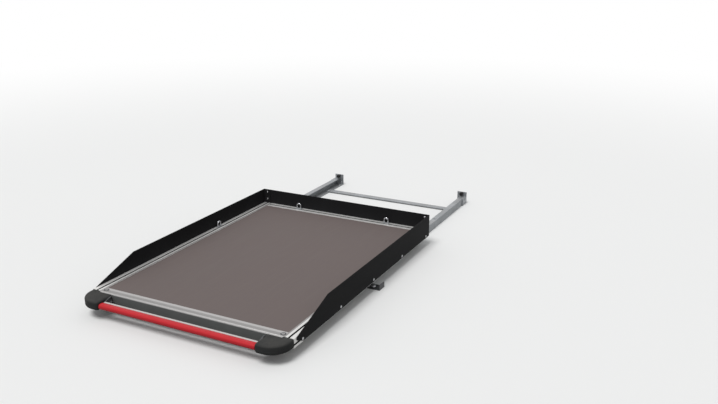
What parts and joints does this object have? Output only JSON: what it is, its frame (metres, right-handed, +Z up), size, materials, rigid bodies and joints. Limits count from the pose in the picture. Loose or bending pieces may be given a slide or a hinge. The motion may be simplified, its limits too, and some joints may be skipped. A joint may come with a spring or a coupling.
{
  "type": "pickup bed slide",
  "caption": "Framed load tray with low boards that rolls out of a pickup bed on two fixed rails and is drawn by a handle with a release bar.",
  "frame": {"origin": "on the bed floor, in the middle of the stored pose's length and width: the tray is pulled out 640 mm past the rails' rear ends, as in the picture", "axes": "+Y from the handle towards the cab, along the rails; +X to the right when facing the cab; +Z up"},
  "size_m": [1.044, 2.175, 0.163],
  "materials": {
    "frame_aluminium": "extruded, satin anodised",
    "zinc_steel": "zinc plated",
    "bright_steel": "turned, bright",
    "eye_chrome": "bright plated",
    "black_board": "black powder coat, fine grain",
    "deck_board": "film-faced plywood, grey brown, matt",
    "grey_plastic": "moulded, fine grain",
    "red_grip": "moulded soft-touch red",
    "black_rubber": "matt",
    "roller_nylon": "turned nylon, black"
  },
  "bodies": {
    "base": {"base_rail_left": "zinc_steel", "base_rail_right": "zinc_steel", "cross_bar_rear": "zinc_steel", "cross_bar_middle": "zinc_steel", "cross_bar_front": "zinc_steel", "mounting_foot_left": "zinc_steel", "mounting_foot_right": "zinc_steel", "end_stop_left": "zinc_steel", "end_stop_right": "zinc_steel", "stop_buffer_left": "black_rubber", "stop_buffer_right": "black_rubber", "travel_stop_left": "black_rubber", "travel_stop_right": "black_rubber", "base_axle_rear_left": "bright_steel", "base_axle_rear_right": "bright_steel", "base_axle_front_left": "bright_steel", "base_axle_front_right": "bright_steel"},
    "tray": {"side_profile_left": "frame_aluminium", "side_profile_right": "frame_aluminium", "rear_profile": "frame_aluminium", "front_profile": "frame_aluminium", "deck_panel": "deck_board", "bearer_1": "frame_aluminium", "bearer_2": "frame_aluminium", "bearer_3": "frame_aluminium", "tray_runner_left": "frame_aluminium", "tray_runner_right": "frame_aluminium", "tray_axle_left": "bright_steel", "tray_axle_right": "bright_steel", "side_board_left": "black_board", "side_board_right": "black_board", "rear_board": "black_board", "lashing_eye_side_left": "eye_chrome", "lashing_eye_side_right": "eye_chrome", "lashing_eye_rear_left": "eye_chrome", "lashing_eye_rear_right": "eye_chrome", "handle_cap_left": "grey_plastic", "handle_cap_right": "grey_plastic", "handle_pan": "grey_plastic", "lock_housing_left": "zinc_steel", "lock_housing_right": "zinc_steel"},
    "base_roller_rear_left": {"base_roller_rear_left": "roller_nylon"},
    "base_roller_rear_right": {"base_roller_rear_right": "roller_nylon"},
    "base_roller_front_left": {"base_roller_front_left": "roller_nylon"},
    "base_roller_front_right": {"base_roller_front_right": "roller_nylon"},
    "tray_roller_left": {"tray_roller_left": "roller_nylon"},
    "tray_roller_right": {"tray_roller_right": "roller_nylon"},
    "release_bar": {"release_bar_core": "frame_aluminium", "release_grip": "red_grip", "release_lever_left": "zinc_steel", "release_lever_right": "zinc_steel"},
    "release_rod_left": {"release_rod_left": "bright_steel"},
    "release_rod_right": {"release_rod_right": "bright_steel"},
    "lock_pin_left": {"lock_pin_left": "bright_steel"},
    "lock_pin_right": {"lock_pin_right": "bright_steel"}
  },
  "joints": [
    {"name": "tray_slide", "type": "slide", "parent": "base", "child": "tray", "axis": [0, 1, 0], "range_m": [-0.2, 0.716]},
    {"name": "base_roller_rear_left_spin", "type": "hinge", "parent": "base", "child": "base_roller_rear_left", "pos_m": [-0.3945, -0.2075, 0.0285], "axis": [1, 0, 0], "range_deg": [-3163, 890]},
    {"name": "base_roller_rear_right_spin", "type": "hinge", "parent": "base", "child": "base_roller_rear_right", "pos_m": [0.3945, -0.2075, 0.0285], "axis": [1, 0, 0], "range_deg": [-3163, 890]},
    {"name": "base_roller_front_left_spin", "type": "hinge", "parent": "base", "child": "base_roller_front_left", "pos_m": [-0.3945, -0.0075, 0.0285], "axis": [1, 0, 0], "range_deg": [-3163, 890]},
    {"name": "base_roller_front_right_spin", "type": "hinge", "parent": "base", "child": "base_roller_front_right", "pos_m": [0.3945, -0.0075, 0.0285], "axis": [1, 0, 0], "range_deg": [-3163, 890]},
    {"name": "tray_roller_left_spin", "type": "hinge", "parent": "tray", "child": "tray_roller_left", "pos_m": [-0.4225, 0.3125, 0.021], "axis": [1, 0, 0], "range_deg": [-2492, 700]},
    {"name": "tray_roller_right_spin", "type": "hinge", "parent": "tray", "child": "tray_roller_right", "pos_m": [0.4225, 0.3125, 0.021], "axis": [1, 0, 0], "range_deg": [-2492, 700]},
    {"name": "release_lift", "type": "hinge", "parent": "tray", "child": "release_bar", "pos_m": [0, -1.0115, 0.076], "axis": [-1, 0, 0], "range_deg": [0, 20], "stiffness_Nm_per_rad": 1.5, "springref_deg": -11.46},
    {"name": "release_rod_left_pull", "type": "slide", "parent": "tray", "child": "release_rod_left", "axis": [0, -1, 0], "range_m": [0, 0.0065]},
    {"name": "release_rod_right_pull", "type": "slide", "parent": "tray", "child": "release_rod_right", "axis": [0, -1, 0], "range_m": [0, 0.0065]},
    {"name": "lock_pin_left_lift", "type": "slide", "parent": "tray", "child": "lock_pin_left", "axis": [0, 0, 1], "range_m": [0, 0.0065]},
    {"name": "lock_pin_right_lift", "type": "slide", "parent": "tray", "child": "lock_pin_right", "axis": [0, 0, 1], "range_m": [0, 0.0065]}
  ],
  "couplings": [
    {"joint": "base_roller_rear_left_spin", "follows": "tray_slide", "rad_per_m": -76.923},
    {"joint": "base_roller_rear_right_spin", "follows": "tray_slide", "rad_per_m": -76.923},
    {"joint": "base_roller_front_left_spin", "follows": "tray_slide", "rad_per_m": -76.923},
    {"joint": "base_roller_front_right_spin", "follows": "tray_slide", "rad_per_m": -76.923},
    {"joint": "tray_roller_left_spin", "follows": "tray_slide", "rad_per_m": -60.606},
    {"joint": "tray_roller_right_spin", "follows": "tray_slide", "rad_per_m": -60.606},
    {"joint": "release_rod_left_pull", "follows": "release_lift", "m_per_rad": 0.018},
    {"joint": "release_rod_right_pull", "follows": "release_lift", "m_per_rad": 0.018},
    {"joint": "lock_pin_left_lift", "follows": "release_lift", "m_per_rad": 0.018},
    {"joint": "lock_pin_right_lift", "follows": "release_lift", "m_per_rad": 0.018}
  ]
}
